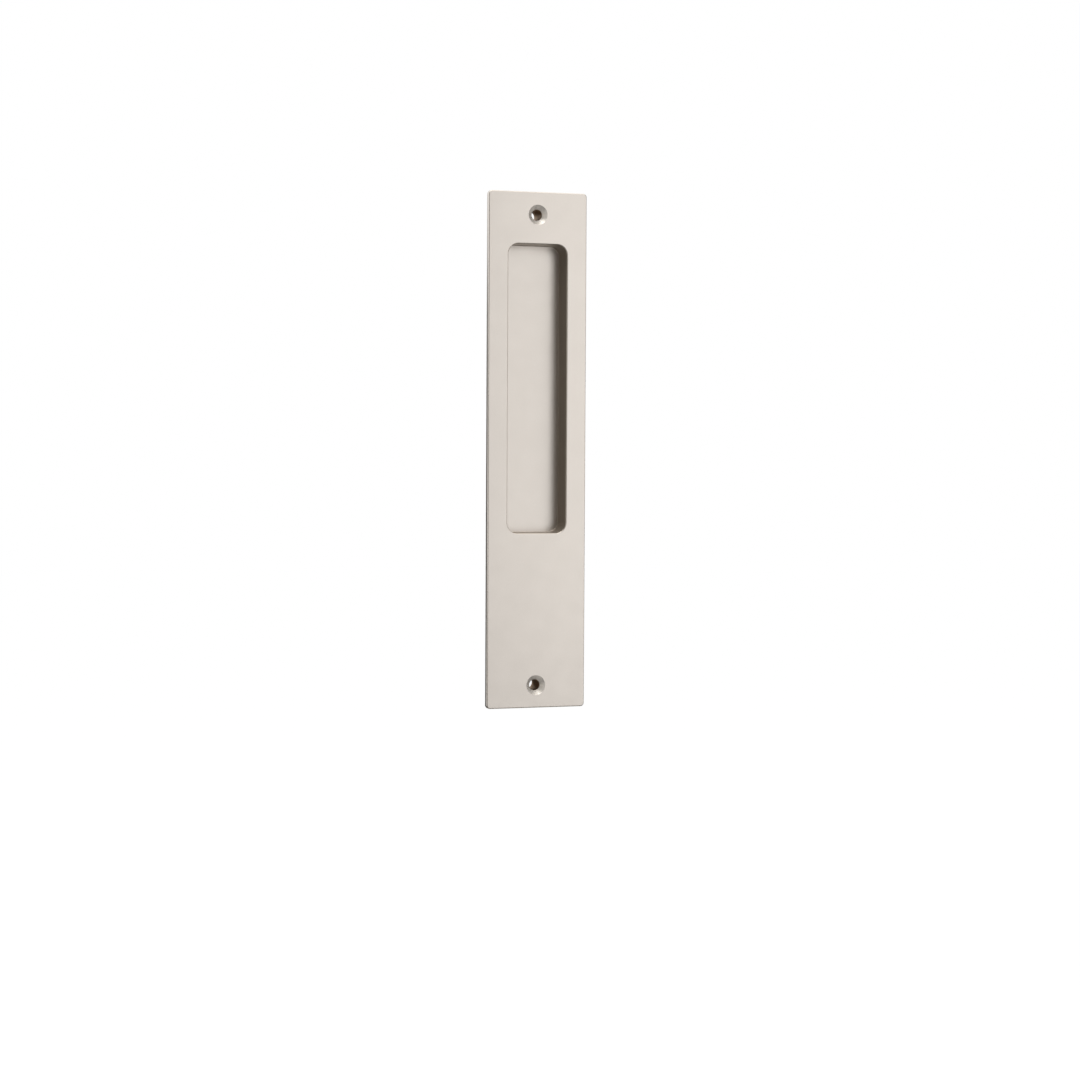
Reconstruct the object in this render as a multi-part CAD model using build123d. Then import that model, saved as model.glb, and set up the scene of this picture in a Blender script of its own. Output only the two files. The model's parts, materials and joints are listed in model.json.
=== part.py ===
from build123d import *
import math
import os

# Flush pull for a sliding door: one cast metal plate with a closed finger recess and two
# countersunk screw bosses. The front faces -Y, the door is on the +Y side, and +Z is up.
# The origin is the centre of the plate's rear face, which lies on the door's surface.
# All lengths are in millimetres and all angles in degrees.

# Plate
plate_width = 50.0
plate_height = 250.0
plate_thickness = 3.0
plate_corner_radius = 1.8
front_edge_radius = 0.5
rear_edge_chamfer = 0.3

# Finger recess, open at the front and nearer the top of the plate
recess_width = 30.0
recess_height = 140.0
recess_top_margin = 25.0
recess_depth = 11.0
recess_corner_radius = 5.2
recess_draft = 1.0
recess_floor_radius = 0.4
recess_rim_radius = 0.5

# Cup that closes the recess behind the plate
cup_wall = 2.0
cup_root_radius = 1.5

# Screw holes, one near each end of the plate
hole_end_margin = 11.0
bore_diameter = 5.3
countersink_diameter = 9.7
countersink_angle = 90.0

# Tubular bosses round the screw holes, which drop into holes drilled in the door
boss_diameter = 10.0
boss_length = 11.0
boss_draft = 1.0
boss_end_chamfer = 0.5
boss_root_radius = 1.0

# How far a cutting tool runs past the faces that it opens
cut_overrun = 1.0

front_y = -plate_thickness
recess_centre_z = plate_height / 2 - recess_top_margin - recess_height / 2
top_hole_z = plate_height / 2 - hole_end_margin
hole_heights = (top_hole_z, -top_hole_z)


def facing_door(y, z=0.0):
    """A sketch plane parallel to the plate, with its normal into the door."""
    return Plane(origin=(0, y, z), x_dir=(-1, 0, 0), z_dir=(0, 1, 0))


def front_face(solid):
    return solid.faces().sort_by(Axis.Y)[0]


def last_face(solid):
    return solid.faces().sort_by(Axis.Y)[-1]


def plate_blank():
    """The flat plate, with soft front edges and a broken rear edge."""
    outline = RectangleRounded(plate_width, plate_height, plate_corner_radius)
    blank = extrude(facing_door(front_y) * outline, plate_thickness)
    blank = fillet(front_face(blank).edges(), front_edge_radius)
    return chamfer(last_face(blank).edges(), rear_edge_chamfer)


def tapered_tray(wall):
    """The recess's form grown by a wall on every side, narrowing to a rounded floor."""
    mouth = RectangleRounded(
        recess_width + 2 * wall, recess_height + 2 * wall, recess_corner_radius + wall
    )
    tray = extrude(
        facing_door(front_y, recess_centre_z) * mouth, recess_depth + wall, taper=recess_draft
    )
    return fillet(last_face(tray).edges(), recess_floor_radius + wall)


def boss(z):
    """A tapered post for one screw hole, rooted in the plate."""
    slope = math.tan(math.radians(boss_draft))
    post = facing_door(front_y, z) * Cone(
        boss_diameter / 2 + plate_thickness * slope,
        boss_diameter / 2 - boss_length * slope,
        plate_thickness + boss_length,
        align=(Align.CENTER, Align.CENTER, Align.MIN),
    )
    return chamfer(last_face(post).edges(), boss_end_chamfer)


def screw_hole(z):
    """The space of one countersunk hole: a cone at the front and a bore through the boss."""
    bore_radius = bore_diameter / 2
    slope = math.tan(math.radians(countersink_angle / 2))
    mouth_radius = countersink_diameter / 2
    cone_end_y = front_y + (mouth_radius - bore_radius) / slope
    start_y = front_y - cut_overrun
    with BuildSketch(Plane.XY) as half_section:
        with BuildLine():
            Polyline(
                (0, start_y),
                (mouth_radius + cut_overrun * slope, start_y),
                (bore_radius, cone_end_y),
                (bore_radius, boss_length + cut_overrun),
                (0, boss_length + cut_overrun),
                close=True,
            )
        make_face()
    return Pos(0, 0, z) * revolve(half_section.sketch, Axis.Y)


def rear_outline(body, z):
    """The wire round the cup or boss that leaves the plate's rear face nearest a height."""
    levels = body.faces().filter_by(Axis.Y).group_by(Axis.Y)
    rear_face = levels[1][0]
    return rear_face.inner_wires().sort_by_distance((0, 0, z))[0]


def rounded_roots(body):
    """Fillets where the cup and the bosses rise from the plate's rear face."""
    body = fillet(rear_outline(body, recess_centre_z).edges(), cup_root_radius)
    for z in hole_heights:
        body = fillet(rear_outline(body, z).edges(), boss_root_radius)
    return body


def pull_plate():
    body = plate_blank() + tapered_tray(cup_wall)
    for z in hole_heights:
        body += boss(z)
    body = rounded_roots(body)
    body -= tapered_tray(0)
    rim = front_face(body).inner_wires().sort_by(SortBy.LENGTH)[-1]
    body = fillet(rim.edges(), recess_rim_radius)
    for z in hole_heights:
        body -= screw_hole(z)
    return body


plate = pull_plate()
os.makedirs("parts", exist_ok=True)
export_step(plate, "parts/pull_plate.step")
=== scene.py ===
import json
import math
import bpy
from mathutils import Matrix, Vector


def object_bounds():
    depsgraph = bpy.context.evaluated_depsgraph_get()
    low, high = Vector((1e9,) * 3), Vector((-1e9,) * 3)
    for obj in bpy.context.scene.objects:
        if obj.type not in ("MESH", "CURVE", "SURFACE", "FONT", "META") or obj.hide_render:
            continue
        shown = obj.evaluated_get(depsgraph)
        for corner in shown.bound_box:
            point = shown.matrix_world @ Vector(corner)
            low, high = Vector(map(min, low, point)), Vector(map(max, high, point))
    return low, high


# A flush pull plate of satin nickel, hung in a tent of grey cards above a pale floor. Lengths are
# in metres where no name says otherwise. Azimuths are in degrees about +Z, from 0 in front of
# the plate to 90 at its left, as the camera sees it.

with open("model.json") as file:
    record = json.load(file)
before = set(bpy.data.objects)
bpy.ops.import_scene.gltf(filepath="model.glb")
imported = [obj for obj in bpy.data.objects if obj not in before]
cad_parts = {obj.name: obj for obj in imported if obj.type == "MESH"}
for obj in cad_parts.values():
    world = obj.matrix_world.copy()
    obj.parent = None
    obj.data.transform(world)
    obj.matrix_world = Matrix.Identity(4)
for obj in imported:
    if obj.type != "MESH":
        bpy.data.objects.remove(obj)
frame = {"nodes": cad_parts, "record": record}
cad_low, cad_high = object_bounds()
plate = frame["nodes"]["pull_plate"]
record = frame["record"]
mounts = {mount["name"]: mount for mount in record["mounts"]}
openings = {opening["name"]: opening for opening in record["physics"]["openings"]}

# Camera, as fitted to the plate's edges in the photograph. Its turns are in degrees.
IMAGE_SIDE_PX = 1080
FOCAL_LENGTH_PX = 2361.8
SENSOR_WIDTH_MM = 36
CAMERA_AZIMUTH = 18.86
CAMERA_TURN_DOWN = 2.216
CAMERA_ROLL = 0.294
CAMERA_DISTANCE = 1.1464
CAMERA_SIDESTEP = 0.0017
CAMERA_HEIGHT = 0.0011

# Floor and surroundings
FLOOR_DROP = 0.25
FLOOR_SIDE = 12.0
FLOOR_WHITE = 0.8
FLOOR_GLOW = 0.52
AMBIENT_LEVEL = 0.6

# Tent of cards that the plate sees only in its reflections. Heights are above the floor.
TENT_RADIUS = 0.6
TENT_HEIGHT = 1.125
LOW_CARD_HEIGHT = 0.51
CARD_LIFT = 0.003
CARD_STEP = 3.0
CARD_TINT = (1.06, 1.0, 0.91)
GROUND_LEVEL = 0.08
UNDER_RADIUS = 0.2
UNDER_LEVEL = 0.35
ROOF_LEVEL = 1.2

# Upright cards: first azimuth, last azimuth, height and level. The gaps between them are the
# white openings that light the metal.
UPRIGHT_CARDS = (
    (-4, 42, TENT_HEIGHT, 0.105),
    (42, 60, TENT_HEIGHT, 0.28),
    (60, 84, TENT_HEIGHT, 0.50),
    (130, 155, LOW_CARD_HEIGHT, 0.08),
    (155, 185, LOW_CARD_HEIGHT, 0.03),
    (185, 250, TENT_HEIGHT, 0.38),
    (250, 290, TENT_HEIGHT, 0.12),
    (290, 315, TENT_HEIGHT, 0.90),
)

# Upright lamps: name, azimuth, how far the middle is above the plate's, width, height and level
UPRIGHT_LAMPS = (
    ("key", -22, 0.3, 0.17, 1.0, 0.40),
    ("side", 106, 0.2, 0.35, 0.9, 0.40),
)

# Overhead lamp, left of the plate and in front of it
OVERHEAD_PLACE = (-0.15, -0.13, 0.7)
OVERHEAD_SIDE = 0.35
OVERHEAD_LEVEL = 2.0

# Colours of the metal
NICKEL = (0.685, 0.636, 0.586)
# Lighter lips: partly rubbed wear, partly a painted highlight that brightens the rims
LIP_WEAR_AND_HIGHLIGHT = (0.830, 0.785, 0.735)
# Darker recess walls: painted shade in the finger recess
WALL_PAINTED_SHADE = (0.500, 0.450, 0.400)
CAST_NICKEL = (0.600, 0.560, 0.520)
TURNED_NICKEL = (0.935, 0.900, 0.855)
# Dark brown bore: a brown tint, darkened with painted shade in the deep hole
BORE_BROWN_AND_SHADE = (0.430, 0.315, 0.220)
TURNED_METALLIC = 0.75
TONE_RANGE = 0.05

# Roughness of the metal
FACE_ROUGHNESS = 0.35
LIP_ROUGHNESS = 0.28
WALL_ROUGHNESS = 0.50
CAST_ROUGHNESS = 0.52
TURNED_ROUGHNESS = 0.40
BORE_ROUGHNESS = 0.60
SMEAR_RANGE = 0.05

# Fine texture of the metal
CLOUD_SIZE = 0.03
DRIFT_SIZE = 0.007
GRAIN_SIZE = 0.0004
GRAIN_STRETCH = (1, 1, 3)
GRAIN_HEIGHT = 0.000001
LUMP_SIZE = 0.0012
LUMP_DETAIL = 3.0
LUMP_HEIGHT = 0.00002
RING_PITCH = 0.00022
RING_HEIGHT = 0.000012

# Sockets of the Mix node, by number, because their names repeat
MIX_SHARE = 0
MIX_NUMBERS = (2, 3)
MIX_COLOURS = (6, 7)
MIX_COLOUR_OUT = 2

# Where each finish lies on the plate
MM_PER_METRE = 1000
HOLE_SPACING_MM = mounts["fixing_holes"]["dims"]["spacing_y_mm"]
HOLE_HEIGHT = HOLE_SPACING_MM / MM_PER_METRE / 2
BORE_MARGIN = 0.00003
BORE_RADIUS = mounts["fixing_holes"]["dims"]["hole_r_mm"] / MM_PER_METRE + BORE_MARGIN
COUNTERSINK_RADIUS = 0.00486
MASK_SOFTNESS = 0.00004
REAR_START = -0.0004
LIP_DEPTH = 0.001

# How squarely a surface faces the front or the rear, from 0 to 1, where it counts as flat, and
# where it counts as sloped
FLAT_FACING = 0.97
SLOPED_FACING = 0.85

# The record's box for the finger recess lies inside it. These margins grow the box until it
# takes in the recess's walls, floor and rim.
RECESS_SIDE_MARGIN = 0.002
RECESS_END_MARGIN = 0.0057
RECESS_BACK_MARGIN = 0.0007


def add_camera():
    """A camera left of the plate's front and level with its middle, turned down a little."""
    data = bpy.data.cameras.new("camera")
    data.sensor_width = SENSOR_WIDTH_MM
    data.lens = SENSOR_WIDTH_MM * FOCAL_LENGTH_PX / IMAGE_SIDE_PX
    camera = bpy.data.objects.new("camera", data)
    bpy.context.scene.collection.objects.link(camera)
    camera.matrix_world = (
        Matrix.Translation((0, cad_low.y, CAMERA_HEIGHT))
        @ Matrix.Rotation(math.radians(-CAMERA_AZIMUTH), 4, "Z")
        @ Matrix.Translation((CAMERA_SIDESTEP, -CAMERA_DISTANCE, 0))
        @ Matrix.Rotation(math.radians(90 - CAMERA_TURN_DOWN), 4, "X")
        @ Matrix.Rotation(math.radians(CAMERA_ROLL), 4, "Z")
    )
    bpy.context.scene.camera = camera


def direction(azimuth):
    """The level direction from the plate at an azimuth."""
    angle = math.radians(azimuth)
    return Vector((-math.sin(angle), -math.cos(angle), 0))


def rise(height):
    """The vector that goes straight up by a height."""
    return Vector((0, 0, height))


def new_mesh_object(name, points, faces):
    """An object in the scene with a mesh of its own."""
    mesh = bpy.data.meshes.new(name)
    mesh.from_pydata(points, [], faces)
    thing = bpy.data.objects.new(name, mesh)
    bpy.context.scene.collection.objects.link(thing)
    return thing


def seen_directly(nodes, links):
    """1 for rays from the camera, from reflections and through glass, and 0 for the others."""
    path = nodes.new("ShaderNodeLightPath")
    total = path.outputs["Is Camera Ray"]
    for ray in ("Is Glossy Ray", "Is Transmission Ray"):
        most = nodes.new("ShaderNodeMath")
        most.operation = "MAXIMUM"
        links.new(total, most.inputs[0])
        links.new(path.outputs[ray], most.inputs[1])
        total = most.outputs[0]
    return total


def add_world():
    """White where it is seen or reflected, and a plain grey where it lights the floor."""
    world = bpy.data.worlds.new("studio")
    world.use_nodes = True
    nodes, links = world.node_tree.nodes, world.node_tree.links
    strength = nodes.new("ShaderNodeMapRange")
    strength.inputs["To Min"].default_value = AMBIENT_LEVEL
    links.new(seen_directly(nodes, links), strength.inputs["Value"])
    background = nodes["Background"]
    background.inputs["Color"].default_value = (1, 1, 1, 1)
    links.new(strength.outputs[0], background.inputs["Strength"])
    bpy.context.scene.world = world


def floor_paint():
    """A pale matt material with a glow of its own where it is seen or reflected."""
    material = bpy.data.materials.new("floor")
    material.use_nodes = True
    nodes, links = material.node_tree.nodes, material.node_tree.links
    nodes.remove(nodes["Principled BSDF"])
    diffuse = nodes.new("ShaderNodeBsdfDiffuse")
    diffuse.inputs["Color"].default_value = (FLOOR_WHITE, FLOOR_WHITE, FLOOR_WHITE, 1)
    strength = nodes.new("ShaderNodeMath")
    strength.operation = "MULTIPLY"
    strength.inputs[1].default_value = FLOOR_GLOW
    links.new(seen_directly(nodes, links), strength.inputs[0])
    glow = nodes.new("ShaderNodeEmission")
    links.new(strength.outputs[0], glow.inputs["Strength"])
    both = nodes.new("ShaderNodeAddShader")
    links.new(diffuse.outputs[0], both.inputs[0])
    links.new(glow.outputs[0], both.inputs[1])
    links.new(both.outputs[0], nodes["Material Output"].inputs["Surface"])
    material.cycles.emission_sampling = "NONE"
    return material


def add_floor():
    """A pale floor below the plate, which takes its shadow. Returns the floor's height."""
    height = cad_low.z - FLOOR_DROP
    reach = FLOOR_SIDE / 2
    corners = ((-reach, -reach), (reach, -reach), (reach, reach), (-reach, reach))
    floor = new_mesh_object("floor", [(x, y, height) for x, y in corners], [(0, 1, 2, 3)])
    floor.data.materials.append(floor_paint())
    return height


def make_card(thing, level):
    """Makes a thing show in reflections alone, at an even level."""
    material = bpy.data.materials.new(thing.name)
    material.use_nodes = True
    nodes, links = material.node_tree.nodes, material.node_tree.links
    nodes.remove(nodes["Principled BSDF"])
    glow = nodes.new("ShaderNodeEmission")
    glow.inputs["Color"].default_value = (*CARD_TINT, 1)
    glow.inputs["Strength"].default_value = level
    links.new(glow.outputs[0], nodes["Material Output"].inputs["Surface"])
    material.cycles.emission_sampling = "NONE"
    thing.data.materials.append(material)
    thing.visible_camera = False
    thing.visible_diffuse = False
    thing.visible_transmission = False
    thing.visible_volume_scatter = False
    thing.visible_shadow = False


def add_upright_card(name, first, last, height, level, floor_height):
    """A card curved round the plate from one azimuth to another, standing just off the floor."""
    count = round((last - first) / CARD_STEP)
    edge = [TENT_RADIUS * direction(first + (last - first) * i / count) for i in range(count + 1)]
    bottom = [point + rise(floor_height + CARD_LIFT) for point in edge]
    top = [point + rise(floor_height + height) for point in edge]
    across = len(edge)
    faces = [(i, i + 1, across + i + 1, across + i) for i in range(count)]
    make_card(new_mesh_object(name, bottom + top, faces), level)


def add_round_card(name, radius, height, level):
    """A level round card above or below the plate."""
    count = round(360 / CARD_STEP)
    points = [radius * direction(360 * i / count) + rise(height) for i in range(count)]
    make_card(new_mesh_object(name, points, [tuple(range(count))]), level)


def add_tent(floor_height):
    """Cards round, above and below the plate."""
    for number, card in enumerate(UPRIGHT_CARDS):
        add_upright_card(f"card_{number}", *card, floor_height)
    add_round_card("card_ground", TENT_RADIUS, floor_height + CARD_LIFT, GROUND_LEVEL)
    add_round_card("card_under", UNDER_RADIUS, floor_height + 2 * CARD_LIFT, UNDER_LEVEL)
    add_round_card("card_roof", TENT_RADIUS, floor_height + TENT_HEIGHT, ROOF_LEVEL)


def add_lamp(name, place, back, width, height, level):
    """An area lamp at a place, whose back is turned one way and whose face shines at a level."""
    data = bpy.data.lights.new(name, "AREA")
    data.shape = "RECTANGLE"
    data.size = width
    data.size_y = height
    data.energy = math.pi * width * height * level
    lamp = bpy.data.objects.new(name, data)
    bpy.context.scene.collection.objects.link(lamp)
    lamp.location = place
    lamp.rotation_euler = back.to_track_quat("Z", "Y").to_euler()


def add_lamps():
    """An upright lamp right of the front, another at the left, and one overhead."""
    for name, azimuth, middle, width, height, level in UPRIGHT_LAMPS:
        away = direction(azimuth)
        add_lamp(name, TENT_RADIUS * away + rise(middle), away, width, height, level)
    overhead = Vector(OVERHEAD_PLACE)
    add_lamp("overhead", overhead, overhead, OVERHEAD_SIDE, OVERHEAD_SIDE, OVERHEAD_LEVEL)


class Shading:
    """One material's node tree, with short forms for its maths."""

    def __init__(self, name):
        self.material = bpy.data.materials.new(name)
        self.material.use_nodes = True
        self.nodes = self.material.node_tree.nodes
        self.links = self.material.node_tree.links
        self.shader = self.nodes["Principled BSDF"]
        self.place = self.nodes.new("ShaderNodeTexCoord")

    def feed(self, value, socket):
        """Links a socket to another one, or sets it to a number or a colour."""
        if isinstance(value, bpy.types.NodeSocket):
            self.links.new(value, socket)
        elif isinstance(value, tuple):
            socket.default_value = (*value, 1)
        else:
            socket.default_value = value

    def calc(self, operation, *values):
        """The result of one maths node."""
        node = self.nodes.new("ShaderNodeMath")
        node.operation = operation
        for value, socket in zip(values, node.inputs):
            self.feed(value, socket)
        return node.outputs[0]

    def add(self, first, second):
        """The sum of two values."""
        return self.calc("ADD", first, second)

    def subtract(self, first, second):
        """The first value less the second."""
        return self.calc("SUBTRACT", first, second)

    def multiply(self, first, second):
        """The product of two values."""
        return self.calc("MULTIPLY", first, second)

    def size(self, value):
        """A value without its sign."""
        return self.calc("ABSOLUTE", value)

    def axes(self, socket):
        """The x, y and z of a vector socket."""
        node = self.nodes.new("ShaderNodeSeparateXYZ")
        self.feed(socket, node.inputs[0])
        return node.outputs[0], node.outputs[1], node.outputs[2]

    def ramp(self, value, start, end):
        """Goes smoothly from 0 to 1 as a value passes from start to end."""
        node = self.nodes.new("ShaderNodeMapRange")
        node.interpolation_type = "SMOOTHSTEP"
        self.feed(value, node.inputs["Value"])
        self.feed(start, node.inputs["From Min"])
        self.feed(end, node.inputs["From Max"])
        return node.outputs[0]

    def inside(self, value, limit):
        """1 where a value is below a limit, with a narrow soft edge."""
        return self.ramp(value, limit + MASK_SOFTNESS, limit - MASK_SOFTNESS)

    def blend(self, amount, first, second):
        """A number that goes from the first to the second."""
        node = self.nodes.new("ShaderNodeMix")
        self.feed(amount, node.inputs[MIX_SHARE])
        for value, socket in zip((first, second), MIX_NUMBERS):
            self.feed(value, node.inputs[socket])
        return node.outputs[0]

    def tint(self, amount, first, second, blend_type="MIX"):
        """A colour that goes from the first to the second."""
        node = self.nodes.new("ShaderNodeMix")
        node.data_type = "RGBA"
        node.blend_type = blend_type
        self.feed(amount, node.inputs[MIX_SHARE])
        for value, socket in zip((first, second), MIX_COLOURS):
            self.feed(value, node.inputs[socket])
        return node.outputs[MIX_COLOUR_OUT]

    def noise(self, size, detail=2.0, stretch=(1, 1, 1)):
        """Soft noise from 0 to 1, whose lumps are about a size across."""
        mapping = self.nodes.new("ShaderNodeMapping")
        mapping.inputs["Scale"].default_value = [1 / (size * part) for part in stretch]
        self.feed(self.place.outputs["Object"], mapping.inputs["Vector"])
        node = self.nodes.new("ShaderNodeTexNoise")
        node.inputs["Scale"].default_value = 1
        node.inputs["Detail"].default_value = detail
        self.feed(mapping.outputs[0], node.inputs["Vector"])
        return node.outputs[0]

    def bump(self, height):
        """Raises the surface by a height in metres."""
        node = self.nodes.new("ShaderNodeBump")
        node.inputs["Distance"].default_value = 1
        self.feed(height, node.inputs["Height"])
        self.feed(node.outputs[0], self.shader.inputs["Normal"])


def within_recess(metal, x, y, z):
    """1 in the finger recess, its rim included, and 0 elsewhere."""
    low, high = openings["finger_recess"]["box_m"]
    half_width = high[0] + RECESS_SIDE_MARGIN
    middle = (low[2] + high[2]) / 2
    half_height = (high[2] - low[2]) / 2 + RECESS_END_MARGIN
    across = metal.inside(metal.size(x), half_width)
    along = metal.inside(metal.size(metal.subtract(z, middle)), half_height)
    return metal.multiply(
        metal.multiply(across, along), metal.inside(y, high[1] + RECESS_BACK_MARGIN)
    )


def satin_nickel():
    """Satin nickel with rubbed lips lightened by a painted highlight, rougher recess walls
    darkened by painted shade, turned countersinks, a brown bore darkened by painted shade and a
    cast rear.
    """
    metal = Shading("satin_nickel")
    x, y, z = metal.axes(metal.place.outputs["Object"])
    facing = metal.size(metal.axes(metal.place.outputs["Normal"])[1])

    # Masks, which are 1 where a finish is
    from_hole_height = metal.subtract(metal.size(z), HOLE_HEIGHT)
    from_axis = metal.calc(
        "SQRT", metal.add(metal.multiply(x, x), metal.multiply(from_hole_height, from_hole_height))
    )
    bore = metal.inside(from_axis, BORE_RADIUS)
    in_front = metal.inside(y, REAR_START)
    turned = metal.subtract(metal.inside(from_axis, COUNTERSINK_RADIUS), bore)
    turned = metal.multiply(turned, in_front)
    recess = within_recess(metal, x, y, z)
    rear = metal.multiply(metal.subtract(1.0, in_front), metal.subtract(1.0, recess))
    tilted = metal.ramp(facing, FLAT_FACING, SLOPED_FACING)
    past_lip = metal.ramp(y, cad_low.y, cad_low.y + LIP_DEPTH)
    # The lip mask: tilted edges near the front, whose colour is lighter, partly for rubbed wear
    # and partly as a painted highlight
    worn_highlit_lip = metal.multiply(tilted, metal.subtract(1.0, past_lip))
    # The wall mask: tilted surfaces inside the recess, whose colour carries painted shade
    shaded_wall = metal.multiply(metal.multiply(tilted, past_lip), recess)

    grain = metal.noise(GRAIN_SIZE, stretch=GRAIN_STRETCH)

    # Colour
    # Painted highlight on the lips, together with rubbed wear
    colour = metal.tint(worn_highlit_lip, NICKEL, LIP_WEAR_AND_HIGHLIGHT)
    # Painted shade on the recess walls
    colour = metal.tint(shaded_wall, colour, WALL_PAINTED_SHADE)
    colour = metal.tint(rear, colour, CAST_NICKEL)
    colour = metal.tint(turned, colour, TURNED_NICKEL)
    # Painted shade in the bore, over a brown tint
    colour = metal.tint(bore, colour, BORE_BROWN_AND_SHADE)
    tone = metal.multiply(metal.add(metal.noise(CLOUD_SIZE), grain), TONE_RANGE)
    shade = metal.add(tone, 1.0 - TONE_RANGE)
    colour = metal.tint(1.0, colour, shade, "MULTIPLY")
    metal.feed(colour, metal.shader.inputs["Base Color"])
    metal.feed(metal.blend(turned, 1.0, TURNED_METALLIC), metal.shader.inputs["Metallic"])

    # Roughness
    rough = metal.blend(worn_highlit_lip, FACE_ROUGHNESS, LIP_ROUGHNESS)
    rough = metal.blend(shaded_wall, rough, WALL_ROUGHNESS)
    rough = metal.blend(rear, rough, CAST_ROUGHNESS)
    rough = metal.blend(turned, rough, TURNED_ROUGHNESS)
    rough = metal.blend(bore, rough, BORE_ROUGHNESS)
    smear = metal.multiply(metal.add(metal.noise(DRIFT_SIZE), grain), SMEAR_RANGE)
    rough = metal.add(rough, metal.subtract(smear, SMEAR_RANGE))
    metal.feed(rough, metal.shader.inputs["Roughness"])

    # Bump: the countersinks' tool rings, the finish's grain and the cast rear's lumps
    ring = metal.calc("SINE", metal.multiply(from_axis, 2 * math.pi / RING_PITCH))
    rings = metal.multiply(metal.multiply(ring, RING_HEIGHT / 2), turned)
    lumps = metal.multiply(metal.noise(LUMP_SIZE, detail=LUMP_DETAIL), LUMP_HEIGHT)
    height = metal.add(rings, metal.multiply(grain, GRAIN_HEIGHT))
    metal.bump(metal.add(height, metal.multiply(lumps, rear)))
    return metal.material


plate.material_slots[0].material = satin_nickel()
add_world()
add_tent(add_floor())
add_lamps()
add_camera()
bpy.context.scene.view_settings.view_transform = "Standard"
